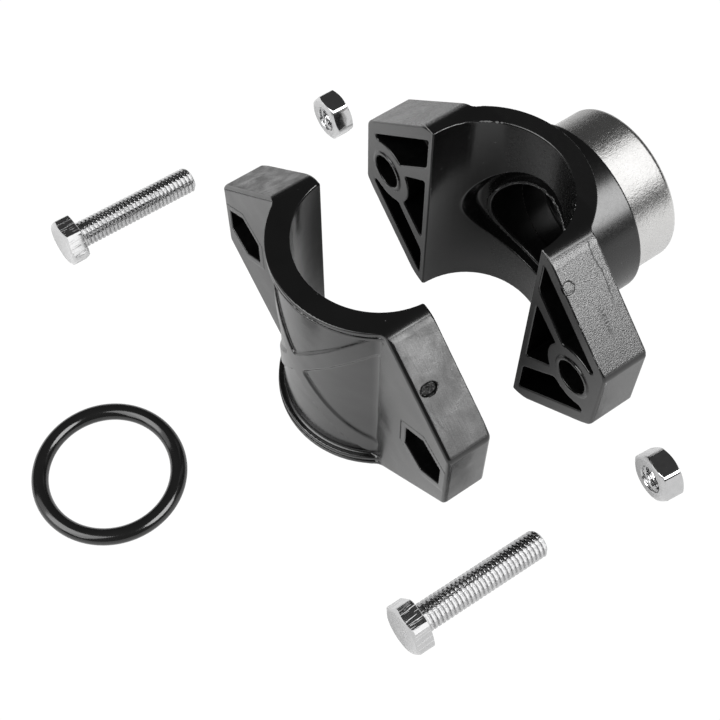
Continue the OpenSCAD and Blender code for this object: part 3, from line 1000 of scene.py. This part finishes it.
# ---------------------------------------------------------------- stage, light and camera

def plain(name, colour, glow):
    mat = bpy.data.materials.new(name)
    mat.use_nodes = True
    s = next(n for n in mat.node_tree.nodes if n.type == "BSDF_PRINCIPLED")
    s.inputs["Base Color"].default_value = (colour, colour, colour, 1)
    s.inputs["Roughness"].default_value = 0.9
    s.inputs["Specular IOR Level"].default_value = 0.0
    s.inputs["Emission Color"].default_value = (1, 1, 1, 1)
    s.inputs["Emission Strength"].default_value = glow
    return mat


def disc(name, radius, z, mat):
    bm = bmesh.new()
    bmesh.ops.create_circle(bm, cap_ends=True, segments=96, radius=radius)
    me = bpy.data.meshes.new(name)
    bm.to_mesh(me)
    bm.free()
    me.materials.append(mat)
    o = bpy.data.objects.new(name, me)
    o.location.z = z
    bpy.context.scene.collection.objects.link(o)
    return o


def only_seen(o, seen):
    """Seen by the camera and by nothing else, or the other way round."""
    o.visible_camera = seen
    for kind in ("diffuse", "glossy", "transmission", "volume_scatter", "shadow"):
        setattr(o, "visible_" + kind, not seen)


# the table that the light falls on, which also glows with painted light, its colour and glow carrying painted shade;
# and the white sweep in front of it that the picture shows
table_mat = plain("table_white", 0.5, 0.5)
tt = table_mat.node_tree
ts = next(n for n in tt.nodes if n.type == "BSDF_PRINCIPLED")
# painted light falloff: colour and glow fade outwards from the middle
tg, tc, tm, tr = (tt.nodes.new(k) for k in ("ShaderNodeTexGradient", "ShaderNodeTexCoord", "ShaderNodeMapping", "ShaderNodeValToRGB"))
tg.gradient_type = "SPHERICAL"
tm.inputs["Scale"].default_value = (1 / 0.8,) * 3
tr.color_ramp.elements[0].color = (0.1, 0.1, 0.1, 1)
tr.color_ramp.elements[1].position = 0.75
tr.color_ramp.elements[1].color = (0.54, 0.54, 0.54, 1)
tt.links.new(tc.outputs["Object"], tm.inputs["Vector"])
tt.links.new(tm.outputs[0], tg.inputs["Vector"])
tt.links.new(tg.outputs["Fac"], tr.inputs["Fac"])
# painted shade: darker at the back on the left
ty, tx, tp, tq = (tt.nodes.new(k) for k in ("ShaderNodeMapRange", "ShaderNodeMapRange", "ShaderNodeSeparateXYZ", "ShaderNodeMath"))
tt.links.new(tc.outputs["Object"], tp.inputs[0])
for node, src, lo, hi in ((ty, "Y", 0.05, 0.075), (tx, "X", 0.0, -0.04)):
    node.interpolation_type = "SMOOTHSTEP"
    node.inputs[1].default_value, node.inputs[2].default_value = min(lo, hi), max(lo, hi)
    node.inputs[3].default_value, node.inputs[4].default_value = (0.0, 1.0) if lo < hi else (1.0, 0.0)
    tt.links.new(tp.outputs[src], node.inputs[0])
tq.operation = "MULTIPLY"
tt.links.new(ty.outputs[0], tq.inputs[0])
tt.links.new(tx.outputs[0], tq.inputs[1])
mixed = tt.nodes.new("ShaderNodeMix")
mixed.data_type = "RGBA"
mixed.blend_type = "MULTIPLY"
mixed.inputs[7].default_value = (0.5, 0.5, 0.5, 1)
tt.links.new(tq.outputs[0], mixed.inputs[0])
tt.links.new(tr.outputs["Color"], mixed.inputs[6])
# painted shade: darker towards the right
tr2 = tt.nodes.new("ShaderNodeMapRange")
for k, q in ((1, 0.0), (2, 0.05), (3, 0.0), (4, 1.0)):
    tr2.inputs[k].default_value = q
tt.links.new(tp.outputs["X"], tr2.inputs[0])
mixed_b = tt.nodes.new("ShaderNodeMix")
mixed_b.data_type = "RGBA"
mixed_b.blend_type = "MULTIPLY"
mixed_b.inputs[7].default_value = (0.78, 0.78, 0.78, 1)
tt.links.new(tr2.outputs[0], mixed_b.inputs[0])
tt.links.new(mixed.outputs[2], mixed_b.inputs[6])
# dimmer between the two halves, where they shade the table
td, tn, tv = (tt.nodes.new(k) for k in ("ShaderNodeVectorMath", "ShaderNodeMapRange", "ShaderNodeVectorMath"))
td.operation, tv.operation = "DISTANCE", "SCALE"
td.inputs[1].default_value = (0.002, -0.008, 0.0)
tt.links.new(tc.outputs["Object"], td.inputs[0])
for k, q in ((1, 0.01), (2, 0.021), (3, 0.4), (4, 1.0)):
    tn.inputs[k].default_value = q
tt.links.new(td.outputs["Value"], tn.inputs[0])
tt.links.new(mixed_b.outputs[2], tv.inputs[0])
tt.links.new(tn.outputs[0], tv.inputs["Scale"])
tt.links.new(tv.outputs[0], ts.inputs["Base Color"])
tt.links.new(tv.outputs[0], ts.inputs["Emission Color"])
table = disc("table", 1.2, -0.00003, table_mat)
only_seen(table, False)
sweep = disc("floor", 8.0, -0.00002, plain("floor_white", 0.0, 1.03))
only_seen(sweep, True)
bm = bmesh.new()
bmesh.ops.create_uvsphere(bm, u_segments=48, v_segments=24, radius=8.0)
me = bpy.data.meshes.new("backdrop")
bm.to_mesh(me)
bm.free()
me.materials.append(plain("backdrop_white", 0.0, 1.0))
backdrop = bpy.data.objects.new("backdrop", me)
bpy.context.scene.collection.objects.link(backdrop)
only_seen(backdrop, True)


def softbox(name, azimuth, elevation, dist, width, height, radiance, shape="RECTANGLE"):
    """A soft box that faces the object; radiance in W per square metre and steradian."""
    d = bpy.data.lights.new(name, "AREA")
    d.shape = shape
    d.size, d.size_y = width, height
    d.energy = radiance * PI * width * height * (PI / 4 if shape == "ELLIPSE" else 1)
    o = bpy.data.objects.new(name, d)
    a, e = math.radians(azimuth), math.radians(elevation)
    o.location = (dist * math.cos(e) * math.cos(a), dist * math.cos(e) * math.sin(a), dist * math.sin(e))
    o.rotation_euler = (-Vector(o.location)).to_track_quat("-Z", "Y").to_euler()
    o.visible_camera = False
    bpy.context.scene.collection.objects.link(o)
    return o


key = softbox("softbox_right", 30, 46, 1.5, 1.12, 1.12, 10.5, "ELLIPSE")
softbox("softbox_left", -89, 43, 1.4, 1.15, 1.3, 4.4)
softbox("softbox_left_wing", -109, 33, 1.3, 0.95, 1.5, 1.6)

def facing(o, away, along, dist):
    """Puts a light at a distance in direction away, its long side along a direction."""
    away, along = Vector(away).normalized(), Vector(along)
    along = (along - away * along.dot(away)).normalized()
    o.location = away * dist
    o.rotation_euler = Matrix((along, away.cross(along), away)).transposed().to_euler()


# a long dim strip over the outlet gives the bare ring its soft bright band, a wide one the bolts
strip = softbox("strip", 0, 0, 1.5, 1.82, 0.75, 1.62)
facing(strip, (0.266, 0.51, 0.818), (0.951, 0.0, -0.309), 1.5)
fan = softbox("fan", 0, 0, 1.5, 3.0, 3.0, 1.6)
facing(fan, (0.669, 0.2, 0.743), (0.743, 0.0, -0.669), 1.5)
ring_only, bolts_only, others = (bpy.data.collections.new(k) for k in ("ring_only", "bolts_only", "not_ring_or_bolts"))
ring_only.objects.link(steel)
for ob in (bolt_a, bolt_b):
    bolts_only.objects.link(ob)
for ob in (steel, bolt_a, bolt_b):
    others.objects.link(ob)
for c in others.collection_objects:
    c.light_linking.link_state = "EXCLUDE"
strip.light_linking.receiver_collection = ring_only
fan.light_linking.receiver_collection = bolts_only
key.light_linking.receiver_collection = others

# a small white card behind the steel ring, on the right
card = softbox("card", 0, 0, 0.3, 0.2, 0.075, 1.0)
card.location = (0.3, 0.262, 0.0375)
card.rotation_euler = Vector((-1, -0.5, 0)).to_track_quat("-Z", "Y").to_euler()

world = bpy.data.worlds.new("studio")
bpy.context.scene.world = world
world.use_nodes = True
bg = next(n for n in world.node_tree.nodes if n.type == "BACKGROUND")
bg.inputs["Color"].default_value = (1, 1, 1, 1)
bg.inputs["Strength"].default_value = 0.06
bpy.context.scene.view_settings.view_transform = "Standard"

cd = bpy.data.cameras.new("camera")
cd.lens = 65.95
cd.sensor_width = 36
cd.clip_start = 0.01
cd.clip_end = 20
cam = bpy.data.objects.new("camera", cd)
cam.location = (0.1087, -0.1056, 0.248)
cam.rotation_euler = (math.radians(90 - 60.02), 0, math.radians(54.87))
bpy.context.scene.collection.objects.link(cam)
bpy.context.scene.camera = cam
